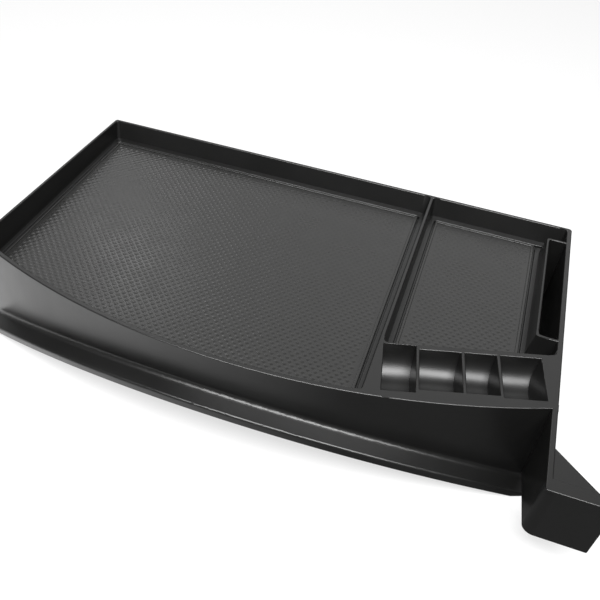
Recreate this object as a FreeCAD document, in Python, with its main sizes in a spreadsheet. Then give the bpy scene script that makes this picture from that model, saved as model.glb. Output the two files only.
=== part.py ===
import FreeCAD, Part
import math
import os
import re

import Sketcher

# Dashboard tray: one moulded shell with two inlay mats.
#
# The tray is drawn with its rim in the plane z = 0, its back edge on y = 0 and its middle on x = 0. Its front
# points to -Y. The finished pieces are then moved so that the origin lies under the middle of the whole part,
# at the level that it stands on.

doc = FreeCAD.newDocument("dashboard_tray")

# Driving dimensions, in millimetres and degrees.
SIZES = [
    ("tray_width", 560.0, "outside width of the rim"),
    ("tray_depth", 322.0, "back edge to the furthest point of the front rim"),
    ("front_radius", 710.0, "radius of the bowed front rim, seen from above"),
    ("stand_depth", 98.0, "rim to the surface that the tray stands on"),
    ("wall", 3.0, "thickness of the moulded walls"),
    ("right_wall", 5.0, "width of the right wall and of the arm"),
    ("front_rim", 4.7, "width of the front rim"),
    ("skirt_flare", 2.0, "how far the side and back skirts lean out at the foot"),
    ("corner_round", 3.5, "radius of the outside corners, seen from above"),
    ("apron_lean", 5.1, "how far the front apron leans out at the foot"),
    ("arch_depth", 40.0, "rim to the top of the arch under the front"),
    ("arch_radius", 770.0, "radius of the arch, seen from the front"),
    ("shelf_width", 22.0, "width of the shelf below the apron"),
    ("lip_drop", 6.0, "height of the lip along the shelf's front edge"),
    ("shelf_valley", 5.0, "hollow rounding between apron and shelf"),
    ("shelf_nose", 2.5, "rounding of the shelf's front edge"),
    ("floor_back_depth", 20.0, "rim to the ledge at the back"),
    ("floor_slope", 1.5, "fall of the floor to the front, in degrees"),
    ("floor_plate", 3.0, "thickness of the floor under a mat"),
    ("seat_depth", 2.2, "step from the ledge down to the mat's seat"),
    ("divider_centre", 125.0, "middle of the divider from mid-width"),
    ("divider_width", 3.0, "width of the divider's top"),
    ("side_draft", 5.0, "lean of the inner side walls, in degrees"),
    ("divider_draft", 8.0, "lean of the divider's left face, in degrees"),
    ("back_draft", 16.7, "lean of the inner back wall, in degrees"),
    ("recess_round", 4.0, "radius of the compartments' corners"),
    ("ledge_side", 5.2, "width of the ledge at the left of the large mat"),
    ("ledge_back", 7.5, "width of the ledge at the back of the large mat"),
    ("ledge_back_small", 7.6, "width of the ledge at the back of the small mat"),
    ("ledge_divider", 4.4, "width of the ledge at the left of the divider"),
    ("ledge_left_small", 5.6, "width of the ledge at the left of the small mat"),
    ("ledge_front", 3.0, "width of the ledges along the front and the coin block"),
    ("seat_round", 4.0, "radius of the mats' seats at the corners"),
    ("mat_gap", 1.6, "gap between a mat and the edge of its seat"),
    ("mat_thickness", 3.2, "height of a mat at its raised edge"),
    ("mat_edge", 3.0, "width of a mat's raised edge"),
    ("mat_dip", 1.0, "drop from a mat's raised edge to its field"),
    ("mat_round", 0.8, "rounding of a mat's raised edge"),
    ("block_back", 247.2, "back edge to the coin block, along the divider"),
    ("coin_angle", 16.5, "turn of the coin troughs from the tray's width, in degrees"),
    ("coin_wall_angle", 11.0, "turn of the walls between the troughs from the tray's depth, in degrees"),
    ("coin_wall", 3.0, "thickness of the walls between the troughs"),
    ("coin_start", 1.2, "divider to the first trough"),
    ("trough_one", 28.6, "length of the first trough"),
    ("trough_two", 36.6, "length of the second trough"),
    ("trough_three", 28.2, "length of the third trough"),
    ("trough_four", 36.2, "length of the fourth trough"),
    ("first_radius", 26.5, "radius of the first trough"),
    ("trough_radius", 22.7, "radius of the two middle troughs"),
    ("last_radius", 23.7, "radius of the fourth trough"),
    ("lean_left", 3.0, "lean of each trough's left wall, in degrees"),
    ("lean_one", 3.5, "lean of the first trough's right wall, in degrees"),
    ("lean_two", 7.5, "the same for the second trough"),
    ("lean_three", 10.0, "the same for the third trough"),
    ("lean_four", 17.0, "the same for the fourth trough"),
    ("first_frame", 1.3, "width of the frame behind the first trough"),
    ("trough_frame", 5.5, "width of the frame behind the other troughs"),
    ("pocket_back", 27.0, "back edge to the pocket's outside"),
    ("pocket_length", 158.0, "outside length of the pocket"),
    ("pocket_width", 20.0, "right wall to the pocket's outside"),
    ("pocket_wall", 2.5, "thickness of the pocket's walls"),
    ("pocket_depth", 80.0, "inside depth of the pocket"),
    ("pocket_draft", 7.0, "lean of the pocket's outside, in degrees"),
    ("pocket_round", 3.0, "radius of the pocket's outside corners"),
    ("foot_width", 5.0, "width of the raised foot round the pocket"),
    ("foot_notch", 11.0, "length of the notch behind the pocket's foot"),
    ("arm_length", 82.5, "end of the bowed rim to the front face of the arm and wing"),
    ("wing_length", 46.0, "right side of the rim to the end of the wing"),
    ("wing_rim", 12.0, "width of the wing's rim"),
    ("wing_plate", 2.5, "thickness of the rim where it stands over the rounded corner"),
    ("wing_corner", 9.0, "radius of the rounded corner between arm and wing"),
    ("plate_corner", 2.0, "radius of the same corner in the rim"),
    ("gusset_length", 30.6, "length of the gusset along the arm"),
    ("gusset_width", 35.4, "length of the gusset along the wing's rim"),
    ("gusset_step", 1.5, "drop from the rim to the gusset"),
    ("wing_drop", 63.0, "depth of the wing's front face"),
    ("arm_slope", 18.2, "rise of the arm's lower edge to the wing, in degrees"),
]
NAMES = {name for name, _, _ in SIZES}

sheet = doc.addObject("Spreadsheet::Sheet", "Sizes")
for row, (name, value, meaning) in enumerate(SIZES, start=1):
    sheet.set("A%d" % row, meaning)
    sheet.set("B%d" % row, "%g" % value)
    sheet.setAlias("B%d" % row, name)
doc.recompute()

# How far a cutting form runs past what it cuts.
CLEAR = 5.0
REACH = 900.0

# Places that more than one piece shares.
HALF = "(tray_width / 2)"
LEFT_INSIDE = "(-tray_width / 2 + wall)"
RIGHT_INSIDE = "(tray_width / 2 - right_wall)"
DIVIDER_LEFT = "(divider_centre - divider_width / 2)"
DIVIDER_RIGHT = "(divider_centre + divider_width / 2)"
POCKET_LEFT = "(tray_width / 2 - right_wall - pocket_width)"
POCKET_FRONT = "(pocket_back + pocket_length)"
BOW_END = "(tray_depth - front_radius + sqrt(front_radius ^ 2 - tray_width ^ 2 / 4))"
ARM_REACH = "(%s + arm_length)" % BOW_END
WING_REACH = "(tray_width / 2 + wing_length)"
WING_BACK = "(%s - wing_rim)" % ARM_REACH
GUSSET_START = "(%s - gusset_length)" % WING_BACK
GUSSET_MEET = "(tray_width / 2 + gusset_width)"
SIDE_RUN = "(floor_back_depth * tan(side_draft))"
DIVIDER_RUN = "(floor_back_depth * tan(divider_draft))"
BACK_RUN = "(floor_back_depth * tan(back_draft))"
POCKET_RUN = "(floor_back_depth * tan(pocket_draft))"
# From the drawing's origin to the finished part's: under its middle, at the level that it stands on.
SHIFT = (
    "(skirt_flare - wing_length) / 2",
    "(max(%s; tray_depth + shelf_width) - skirt_flare) / 2" % ARM_REACH,
    "stand_depth",
)
# The compartments are drawn down to this depth, and the sloping floor then cuts them short.
DEEP = "(2 * floor_back_depth)"


def tied(text):
    """The same expression, with the name of each size led to its cell."""
    return re.sub(r"[a-z_]+", lambda word: ("Sizes." if word.group() in NAMES else "") + word.group(), text)


def worth(text):
    """The number that an expression gives now."""
    return float(sheet.evalExpression(text))


def tie(thing, prop, text):
    thing.setExpression(prop, tied(text))


def make_body(name):
    return doc.addObject("PartDesign::Body", name)


def make_sketch(body, name, role="XY_Plane", lift="0"):
    """A sketch on one of the body's origin planes, moved along the plane's normal by lift."""
    plane = [feature for feature in body.Origin.OriginFeatures if feature.Role == role][0]
    sketch = body.newObject("Sketcher::SketchObject", name)
    sketch.AttachmentSupport = [(plane, "")]
    sketch.MapMode = "FlatFace"
    tie(sketch, "AttachmentOffset.Base.z", lift)
    return sketch


def limit(sketch, kind, *where, text):
    """One constraint of a sketch, tied to an expression."""
    index = sketch.addConstraint(Sketcher.Constraint(kind, *where, worth(text)))
    tie(sketch, "Constraints[%d]" % index, text)


def pin(sketch, element, end, x_text, y_text):
    limit(sketch, "DistanceX", -1, 1, element, end, text=x_text)
    limit(sketch, "DistanceY", -1, 1, element, end, text=y_text)


def close_up(sketch, count):
    """Joins the end of each edge to the start of the next one."""
    for index in range(count):
        sketch.addConstraint(Sketcher.Constraint("Coincident", index, 2, (index + 1) % count, 1))


def draw_polygon(sketch, corners):
    """A closed outline of straight edges. Each corner is a pair of expressions."""
    points = [FreeCAD.Vector(worth(x), worth(y), 0) for x, y in corners]
    for index, point in enumerate(points):
        sketch.addGeometry(Part.LineSegment(point, points[(index + 1) % len(points)]), False)
    close_up(sketch, len(points))
    for index, (x_text, y_text) in enumerate(corners):
        pin(sketch, index, 1, x_text, y_text)


def draw_rectangle(sketch, left, right, back, front):
    draw_polygon(sketch, [(left, back), (left, front), (right, front), (right, back)])


def draw_bowed(sketch, left, right, back, radius):
    """A straight back and straight sides, with a front on an arc about the centre of the tray's bow."""
    arc_radius = worth(radius)
    centre = FreeCAD.Vector(0, worth("front_radius - tray_depth"), 0)
    x_left, x_right, y_back = worth(left), worth(right), worth(back)
    y_left = centre.y - math.sqrt(arc_radius**2 - x_left**2)
    y_right = centre.y - math.sqrt(arc_radius**2 - x_right**2)
    back_left, front_left = FreeCAD.Vector(x_left, y_back, 0), FreeCAD.Vector(x_left, y_left, 0)
    back_right, front_right = FreeCAD.Vector(x_right, y_back, 0), FreeCAD.Vector(x_right, y_right, 0)
    start = math.atan2(y_left - centre.y, x_left)
    finish = math.atan2(y_right - centre.y, x_right)
    circle = Part.Circle(centre, FreeCAD.Vector(0, 0, 1), arc_radius)
    sketch.addGeometry(Part.LineSegment(back_right, back_left), False)
    sketch.addGeometry(Part.LineSegment(back_left, front_left), False)
    sketch.addGeometry(Part.ArcOfCircle(circle, start, finish), False)
    sketch.addGeometry(Part.LineSegment(front_right, back_right), False)
    close_up(sketch, 4)
    sketch.addConstraint(Sketcher.Constraint("Horizontal", 0))
    sketch.addConstraint(Sketcher.Constraint("Vertical", 1))
    sketch.addConstraint(Sketcher.Constraint("Vertical", 3))
    pin(sketch, 0, 2, left, back)
    limit(sketch, "DistanceX", -1, 1, 0, 1, text=right)
    limit(sketch, "Radius", 2, text=radius)
    pin(sketch, 2, 3, "0", "front_radius - tray_depth")


def draw_arched(sketch, arch_top, far):
    """Seen from the front: the region between the arch and a level line at the height far."""
    half, arc_radius = worth(HALF) + CLEAR, worth("arch_radius")
    centre = FreeCAD.Vector(0, worth(arch_top) - arc_radius, 0)
    rise = math.sqrt(arc_radius**2 - half**2)
    left, far_left = FreeCAD.Vector(-half, centre.y + rise, 0), FreeCAD.Vector(-half, worth(far), 0)
    right, far_right = FreeCAD.Vector(half, centre.y + rise, 0), FreeCAD.Vector(half, worth(far), 0)
    circle = Part.Circle(centre, FreeCAD.Vector(0, 0, 1), arc_radius)
    start = math.atan2(rise, half)
    sketch.addGeometry(Part.ArcOfCircle(circle, start, math.pi - start), False)
    sketch.addGeometry(Part.LineSegment(left, far_left), False)
    sketch.addGeometry(Part.LineSegment(far_left, far_right), False)
    sketch.addGeometry(Part.LineSegment(far_right, right), False)
    close_up(sketch, 4)
    sketch.addConstraint(Sketcher.Constraint("Vertical", 1))
    sketch.addConstraint(Sketcher.Constraint("Vertical", 3))
    pin(sketch, 2, 1, "-%s - %g" % (HALF, CLEAR), far)
    pin(sketch, 2, 2, "%s + %g" % (HALF, CLEAR), far)
    limit(sketch, "Radius", 0, text="arch_radius")
    pin(sketch, 0, 3, "0", "%s - arch_radius" % arch_top)


def make_pad(body, name, sketch, length, downwards=True):
    pad = body.newObject("PartDesign::Pad", name)
    pad.Profile = sketch
    tie(pad, "Length", length)
    pad.Reversed = downwards
    return pad


def make_pocket(body, name, sketch, length, both_ways=False):
    pocket = body.newObject("PartDesign::Pocket", name)
    pocket.Profile = sketch
    tie(pocket, "Length", length)
    if both_ways:
        pocket.SideType = "Symmetric"
    return pocket


def make_loft(body, name, first, second):
    loft = body.newObject("PartDesign::AdditiveLoft", name)
    loft.Profile = first
    loft.Sections = [second]
    loft.Ruled = True
    return loft


def make_fillet(body, name, base, chosen, radius):
    """Rounds the edges of base for which chosen(edge) is true."""
    doc.recompute()
    names = ["Edge%d" % number for number, edge in enumerate(base.Shape.Edges, start=1) if chosen(edge)]
    fillet = body.newObject("PartDesign::Fillet", name)
    fillet.Base = (base, names)
    tie(fillet, "Radius", radius)
    return fillet


def is_upright(edge):
    one, other = edge.Vertexes[0].Point, edge.Vertexes[-1].Point
    return abs(one.z - other.z) > 2 * math.hypot(one.x - other.x, one.y - other.y)


def middle(edge):
    return edge.valueAt((edge.FirstParameter + edge.LastParameter) / 2)


def make_box(name, length, width, height, base, turn="0", axis=(0, 0, 1)):
    """A block from one corner, turned about an axis through that corner."""
    box = doc.addObject("Part::Box", name)
    for prop, text in zip(("Length", "Width", "Height"), (length, width, height)):
        tie(box, prop, text)
    place(box, base, turn, axis)
    return box


def place(thing, base, turn="0", axis=(0, 0, 1)):
    """Sets where a thing stands and how it is turned, as expressions."""
    where = "create(<<vector>>; %s; %s; %s)" % tuple(base)
    around = "create(<<vector>>; %s; %s; %s)" % tuple(axis)
    tie(thing, "Placement", "create(<<placement>>; %s; create(<<rotation>>; %s; %s))" % (where, around, turn))


def combine(kind, name, base, tool):
    result = doc.addObject("Part::%s" % kind, name)
    result.Base = base
    result.Tool = tool
    return result


# The outer form: a skirted block with a bowed front, and the shelf that stands out below its apron.
form = make_body("outer_form")
shelf_plan = make_sketch(form, "shelf_plan")
draw_bowed(shelf_plan, "-" + HALF, HALF, "-tray_depth / 2", "front_radius + shelf_width")
make_pad(form, "shelf_block", shelf_plan, "stand_depth")
arch_plan = make_sketch(form, "arch_plan", "XZ_Plane")
draw_arched(arch_plan, "-arch_depth", str(CLEAR))
make_pocket(form, "above_arch", arch_plan, str(2 * REACH), both_ways=True)
rim_plan = make_sketch(form, "rim_plan")
draw_bowed(rim_plan, "-" + HALF, HALF, "0", "front_radius")
foot_plan = make_sketch(form, "foot_plan", lift="-stand_depth")
draw_bowed(
    foot_plan,
    "-%s - skirt_flare" % HALF,
    "%s + skirt_flare" % HALF,
    "skirt_flare",
    "front_radius + apron_lean",
)
block = make_loft(form, "block", rim_plan, foot_plan)


def is_free_corner(edge):
    """An upright outside corner of the block, apart from the one that the arm covers."""
    point = middle(edge)
    at_side = abs(point.x) > worth(HALF) - CLEAR
    under_arm = point.x > 0 and point.y < -worth("tray_depth") / 2
    return is_upright(edge) and edge.Length > worth("stand_depth") / 2 and at_side and not under_arm


def bow_distance(point):
    """How far a point is from the axis that the bowed front turns about."""
    return math.hypot(point.x, point.y - worth("front_radius - tray_depth"))


def is_on_arch(edge):
    point = middle(edge)
    height = worth("-arch_depth - arch_radius") + math.sqrt(worth("arch_radius") ** 2 - point.x**2)
    return abs(point.z - height) < 0.01


def is_valley(edge):
    nearer = worth("front_radius + apron_lean")
    return is_on_arch(edge) and bow_distance(middle(edge)) < nearer + 0.01 and edge.Length > worth(HALF)


def is_nose(edge):
    return is_on_arch(edge) and abs(bow_distance(middle(edge)) - worth("front_radius + shelf_width")) < 0.01


corners = make_fillet(form, "corners", block, is_free_corner, "corner_round")
valley = make_fillet(form, "valley", corners, is_valley, "shelf_valley")
make_fillet(form, "nose", valley, is_nose, "shelf_nose")

# The arm and wing: the right wall runs on past the apron and turns outwards, with a small gusset in the turn.
arm = make_body("arm_form")
arm_outline = [
    (RIGHT_INSIDE, "-" + BOW_END),
    (RIGHT_INSIDE, "-" + ARM_REACH),
    (WING_REACH, "-" + ARM_REACH),
    (WING_REACH, "-" + WING_BACK),
    (GUSSET_MEET, "-" + WING_BACK),
    (HALF, "-" + GUSSET_START),
    (HALF, "-" + BOW_END),
]
skirt_plan = make_sketch(arm, "skirt_plan")
draw_polygon(skirt_plan, arm_outline)
arm_skirt = make_pad(arm, "arm_skirt", skirt_plan, "stand_depth")


def is_wing_corner(edge):
    point = middle(edge)
    return is_upright(edge) and point.x < worth(HALF) and point.y < -worth(ARM_REACH) + CLEAR


arm_turn = make_fillet(arm, "arm_turn", arm_skirt, is_wing_corner, "wing_corner")
plate_plan = make_sketch(arm, "plate_plan")
draw_polygon(plate_plan, arm_outline)
arm_plate = make_pad(arm, "arm_plate", plate_plan, "wing_plate")
make_fillet(arm, "plate_turn", arm_plate, is_wing_corner, "plate_corner")
gusset_plan = make_sketch(arm, "gusset_plan")
draw_polygon(
    gusset_plan,
    [
        (HALF, "-" + GUSSET_START),
        (HALF, "-" + WING_BACK),
        (GUSSET_MEET, "-" + WING_BACK),
        (GUSSET_MEET, "-" + GUSSET_START),
    ],
)
make_pocket(arm, "gusset_top", gusset_plan, "gusset_step")
FRONT_CLEAR = "(-%s - %g)" % (ARM_REACH, CLEAR)
FOOT_CLEAR = "(-stand_depth - %g)" % CLEAR
slope_plan = make_sketch(arm, "slope_plan", "YZ_Plane")
draw_polygon(
    slope_plan,
    [
        (FRONT_CLEAR, "-wing_drop + %g * tan(arm_slope)" % CLEAR),
        (FRONT_CLEAR, FOOT_CLEAR),
        ("-%s + (-wing_drop - %s) / tan(arm_slope)" % (ARM_REACH, FOOT_CLEAR), FOOT_CLEAR),
    ],
)
make_pocket(arm, "arm_bottom", slope_plan, str(2 * REACH), both_ways=True)

# The hollow under the wing and gusset.
wing_room = make_body("wing_room")
GUSSET_FALL = "(gusset_length / gusset_width)"
GUSSET_INSIDE = "(%s + wall * sqrt(1 + %s ^ 2))" % (GUSSET_START, GUSSET_FALL)
WING_INSIDE = "(%s + wall)" % WING_BACK
wing_plan = make_sketch(wing_room, "wing_plan", lift="-gusset_step - wall")
draw_polygon(
    wing_plan,
    [
        ("%s + wall" % RIGHT_INSIDE, "-%s + %s * (right_wall - wall)" % (GUSSET_INSIDE, GUSSET_FALL)),
        ("%s + wall" % RIGHT_INSIDE, "-%s + wall" % ARM_REACH),
        ("%s - wall" % WING_REACH, "-%s + wall" % ARM_REACH),
        ("%s - wall" % WING_REACH, "-" + WING_INSIDE),
        ("%s + (%s - %s) / %s" % (HALF, WING_INSIDE, GUSSET_INSIDE, GUSSET_FALL), "-" + WING_INSIDE),
    ],
)
wing_hollow = make_pad(wing_room, "wing_hollow", wing_plan, "stand_depth")
make_fillet(wing_room, "wing_turn", wing_hollow, is_wing_corner, "wing_corner - wall")

# The compartments above the sloping floor.
above_floor = make_box(
    "above_floor",
    str(2 * REACH),
    str(2 * REACH),
    str(REACH),
    (
        str(-REACH),
        "-%g * cos(floor_slope)" % REACH,
        "-floor_back_depth - %g * sin(floor_slope)" % REACH,
    ),
    "floor_slope",
    (1, 0, 0),
)

large_form = make_body("large_form")
large_rim = make_sketch(large_form, "large_rim")
draw_bowed(large_rim, LEFT_INSIDE, DIVIDER_LEFT, "-wall", "front_radius - front_rim")
large_base = make_sketch(large_form, "large_base", lift="-" + DEEP)
draw_bowed(
    large_base,
    "%s + %s * tan(side_draft)" % (LEFT_INSIDE, DEEP),
    "%s - %s * tan(divider_draft)" % (DIVIDER_LEFT, DEEP),
    "-wall - %s * tan(back_draft)" % DEEP,
    "front_radius - front_rim - %s * tan(side_draft)" % DEEP,
)
large_loft = make_loft(large_form, "large_loft", large_rim, large_base)
make_fillet(large_form, "large_corners", large_loft, is_upright, "recess_round")
large_room = combine("Common", "large_room", large_form, above_floor)


def block_line(x_text, shift):
    """The y of the coin block's back edge at x, moved backwards by shift across the edge."""
    along = "(%s - %s) * tan(coin_angle)" % (x_text, DIVIDER_RIGHT)
    return "(-block_back + %s + (%s) / cos(coin_angle))" % (along, shift)


def draw_small(sketch, left, right, back, shift):
    """The outline of the small compartment, with its front along the coin block."""
    front_left, front_right = block_line(left, shift), block_line(right, shift)
    draw_polygon(sketch, [(left, back), (left, front_left), (right, front_right), (right, back)])


small_form = make_body("small_form")
small_rim = make_sketch(small_form, "small_rim")
draw_small(small_rim, DIVIDER_RIGHT, RIGHT_INSIDE, "-wall", "0")
small_base = make_sketch(small_form, "small_base", lift="-" + DEEP)
draw_small(
    small_base,
    "(%s + %s * tan(side_draft))" % (DIVIDER_RIGHT, DEEP),
    "(%s - %s * tan(side_draft))" % (RIGHT_INSIDE, DEEP),
    "-wall - %s * tan(back_draft)" % DEEP,
    "%s * tan(side_draft)" % DEEP,
)
small_loft = make_loft(small_form, "small_loft", small_rim, small_base)
make_fillet(small_form, "small_corners", small_loft, is_upright, "recess_round")

# The deep pocket stands in the small compartment, against the right wall.
pocket_form = make_body("pocket_form")
pocket_rim = make_sketch(pocket_form, "pocket_rim")
draw_rectangle(pocket_rim, POCKET_LEFT, HALF, "-pocket_back", "-" + POCKET_FRONT)
pocket_base = make_sketch(pocket_form, "pocket_base", lift="-" + DEEP)
draw_rectangle(
    pocket_base,
    "%s - %s * tan(pocket_draft)" % (POCKET_LEFT, DEEP),
    HALF,
    "-pocket_back + %s * tan(pocket_draft)" % DEEP,
    "-%s - %s * tan(pocket_draft)" % (POCKET_FRONT, DEEP),
)
pocket_loft = make_loft(pocket_form, "pocket_loft", pocket_rim, pocket_base)


def is_pocket_corner(edge):
    return is_upright(edge) and middle(edge).x < worth(RIGHT_INSIDE)


make_fillet(pocket_form, "pocket_corners", pocket_loft, is_pocket_corner, "pocket_round")
small_clear = combine("Cut", "small_clear", small_form, pocket_form)
small_room = combine("Common", "small_room", small_clear, above_floor)

pocket_room = make_body("pocket_room")
pocket_mouth = make_sketch(pocket_room, "pocket_mouth")
draw_rectangle(
    pocket_mouth,
    "%s + pocket_wall" % POCKET_LEFT,
    RIGHT_INSIDE,
    "-pocket_back - pocket_wall",
    "-%s + pocket_wall" % POCKET_FRONT,
)
pocket_hole = make_pad(pocket_room, "pocket_hole", pocket_mouth, "pocket_depth")
make_fillet(pocket_room, "pocket_hole_corners", pocket_hole, is_upright, "pocket_round - pocket_wall / 2")


# The mats' seats, drawn in the plane of the sloping floor.
def tilt(body, shift=("0", "0", "0")):
    place(body, (shift[0], shift[1], "%s - floor_back_depth" % shift[2]), "floor_slope", (1, 0, 0))


def draw_large_inset(sketch, inset):
    """The large mat's seat, or what lies inside it by inset."""
    draw_bowed(
        sketch,
        "%s + %s + ledge_side + %s" % (LEFT_INSIDE, SIDE_RUN, inset),
        "%s - %s - ledge_divider - %s" % (DIVIDER_LEFT, DIVIDER_RUN, inset),
        "-wall - %s - ledge_back - %s" % (BACK_RUN, inset),
        "front_radius - front_rim - %s - ledge_front - %s" % (SIDE_RUN, inset),
    )


SMALL_LEFT = "(%s + %s + ledge_left_small)" % (DIVIDER_RIGHT, SIDE_RUN)
SMALL_RIGHT = "(%s - %s - foot_width)" % (POCKET_LEFT, POCKET_RUN)
SMALL_BACK = "(-wall - %s - ledge_back_small)" % BACK_RUN
SMALL_SHIFT = "(%s + ledge_front)" % SIDE_RUN
FOOT_BACK = "(-pocket_back + %s + foot_width)" % POCKET_RUN


def draw_small_inset(sketch, inset):
    """The small mat's outline, inside its seat by inset."""
    draw_small(
        sketch,
        "(%s + %s)" % (SMALL_LEFT, inset),
        "(%s - %s)" % (SMALL_RIGHT, inset),
        "%s - %s" % (SMALL_BACK, inset),
        "%s + %s" % (SMALL_SHIFT, inset),
    )


large_seat = make_body("large_seat")
large_seat_plan = make_sketch(large_seat, "large_seat_plan", lift="-seat_depth")
draw_large_inset(large_seat_plan, "0")
large_step = make_pad(large_seat, "large_step", large_seat_plan, "seat_depth + %g" % CLEAR, downwards=False)
make_fillet(large_seat, "large_seat_corners", large_step, is_upright, "seat_round")
tilt(large_seat)

small_seat = make_body("small_seat")
small_seat_plan = make_sketch(small_seat, "small_seat_plan", lift="-seat_depth")
draw_polygon(
    small_seat_plan,
    [
        (SMALL_LEFT, SMALL_BACK),
        (SMALL_LEFT, block_line(SMALL_LEFT, SMALL_SHIFT)),
        (SMALL_RIGHT, block_line(SMALL_RIGHT, SMALL_SHIFT)),
        (SMALL_RIGHT, FOOT_BACK),
        ("%s + foot_notch" % SMALL_RIGHT, FOOT_BACK),
        ("%s + foot_notch" % SMALL_RIGHT, SMALL_BACK),
    ],
)
small_step = make_pad(small_seat, "small_step", small_seat_plan, "seat_depth + %g" % CLEAR, downwards=False)


def is_seat_corner(edge):
    return is_upright(edge) and middle(edge).x < worth(SMALL_RIGHT) + CLEAR


make_fillet(small_seat, "small_seat_corners", small_step, is_seat_corner, "seat_round")
tilt(small_seat)

# The coin troughs: round-bottomed cuts in a row, with slanting walls between them.
TURN = "(-block_back * sin(coin_wall_angle) + %s * cos(coin_wall_angle))" % DIVIDER_RIGHT
troughs = []
start = "(%s + coin_start)" % TURN
for number, (length, radius, frame, lean) in enumerate(
    [
        ("trough_one", "first_radius", "first_frame", "lean_one"),
        ("trough_two", "trough_radius", "trough_frame", "lean_two"),
        ("trough_three", "trough_radius", "trough_frame", "lean_three"),
        ("trough_four", "last_radius", "trough_frame", "lean_four"),
    ],
    start=1,
):
    slot = make_body("trough_slot_%d" % number)
    plans = []
    for part, level in (("top", str(CLEAR)), ("base", "(-%s - %g)" % (radius, CLEAR))):
        plan = make_sketch(slot, "trough_%s_%d" % (part, number), lift=level)
        draw_rectangle(
            plan,
            "%s - %s * tan(lean_left)" % (start, level),
            "%s + %s + %s * tan(%s)" % (start, length, level, lean),
            str(REACH),
            str(-REACH),
        )
        plans.append(plan)
    make_loft(slot, "trough_space_%d" % number, plans[0], plans[1])
    place(slot, ("0", "0", "0"), "coin_wall_angle")
    bore = doc.addObject("Part::Cylinder", "trough_bore_%d" % number)
    tie(bore, "Radius", radius)
    tie(bore, "Height", str(2 * REACH))
    place(
        bore,
        (
            "%s + (%s + %s) * sin(coin_angle) - %g * cos(coin_angle)" % (DIVIDER_RIGHT, frame, radius, REACH),
            "-block_back - (%s + %s) * cos(coin_angle) - %g * sin(coin_angle)" % (frame, radius, REACH),
            "0",
        ),
        "90",
        ("-sin(coin_angle)", "cos(coin_angle)", "0"),
    )
    troughs.append(combine("Common", "trough_%d" % number, slot, bore))
    start = "(%s + %s + coin_wall)" % (start, length)

# The underside: hollow below the floor, with the pocket's case standing in it.
under_form = make_body("under_form")
under_rim = make_sketch(under_form, "under_rim")
draw_bowed(under_rim, LEFT_INSIDE, RIGHT_INSIDE, "-wall", "front_radius - wall")
under_foot = make_sketch(under_form, "under_foot", lift="-stand_depth")
draw_bowed(
    under_foot,
    "%s - skirt_flare" % LEFT_INSIDE,
    "%s + skirt_flare" % RIGHT_INSIDE,
    "-wall + skirt_flare",
    "front_radius + apron_lean - wall",
)
under_loft = make_loft(under_form, "under_loft", under_rim, under_foot)
make_fillet(under_form, "under_corners", under_loft, is_upright, "corner_round / 2")
below_floor = make_box(
    "below_floor",
    str(2 * REACH),
    str(2 * REACH),
    str(REACH),
    (
        str(-REACH),
        "-%g * cos(floor_slope) + %g * sin(floor_slope)" % (REACH, REACH),
        "-floor_back_depth - seat_depth - floor_plate - %g * sin(floor_slope) - %g * cos(floor_slope)"
        % (REACH, REACH),
    ),
    "floor_slope",
    (1, 0, 0),
)
under_block = combine("Common", "under_block", under_form, below_floor)
pocket_case = make_box(
    "pocket_case",
    "pocket_width + right_wall",
    "pocket_length",
    "pocket_depth + wall",
    (POCKET_LEFT, "-" + POCKET_FRONT, "-pocket_depth - wall"),
)
under_room = combine("Cut", "under_room", under_block, pocket_case)

# Below the shelf: the hollow behind the lip, and the open arch under both.
BAND_BACK = "-%s + %g" % (BOW_END, 4 * CLEAR)
shelf_room = make_body("shelf_room")
shelf_room_plan = make_sketch(shelf_room, "shelf_room_plan")
draw_bowed(shelf_room_plan, LEFT_INSIDE, RIGHT_INSIDE, BAND_BACK, "front_radius + shelf_width - wall")
make_pad(shelf_room, "shelf_room_block", shelf_room_plan, "stand_depth + %g" % CLEAR)
shelf_room_arch = make_sketch(shelf_room, "shelf_room_arch", "XZ_Plane")
draw_arched(shelf_room_arch, "(-arch_depth - wall)", str(CLEAR))
make_pocket(shelf_room, "shelf_under", shelf_room_arch, str(2 * REACH), both_ways=True)

arch_room = make_body("arch_room")
arch_room_plan = make_sketch(arch_room, "arch_room_plan")
draw_bowed(arch_room_plan, LEFT_INSIDE, RIGHT_INSIDE, BAND_BACK, "front_radius + shelf_width + %g" % CLEAR)
make_pad(arch_room, "arch_room_block", arch_room_plan, "stand_depth + %g" % CLEAR)
arch_room_arch = make_sketch(arch_room, "arch_room_arch", "XZ_Plane")
draw_arched(arch_room_arch, "(-arch_depth - wall - lip_drop)", str(CLEAR))
make_pocket(arch_room, "arch_under", arch_room_arch, str(2 * REACH), both_ways=True)

# The tray itself.
tray = combine("Fuse", "whole_form", form, arm)
rooms = [under_room, shelf_room, arch_room, wing_room, large_room, small_room, pocket_room]
for number, room in enumerate(rooms + [large_seat, small_seat] + troughs, start=1):
    tray = combine("Cut", "cut_%d" % number, tray, room)
tray.Refine = True
tray.Label = "tray"
place(tray, SHIFT)


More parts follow.
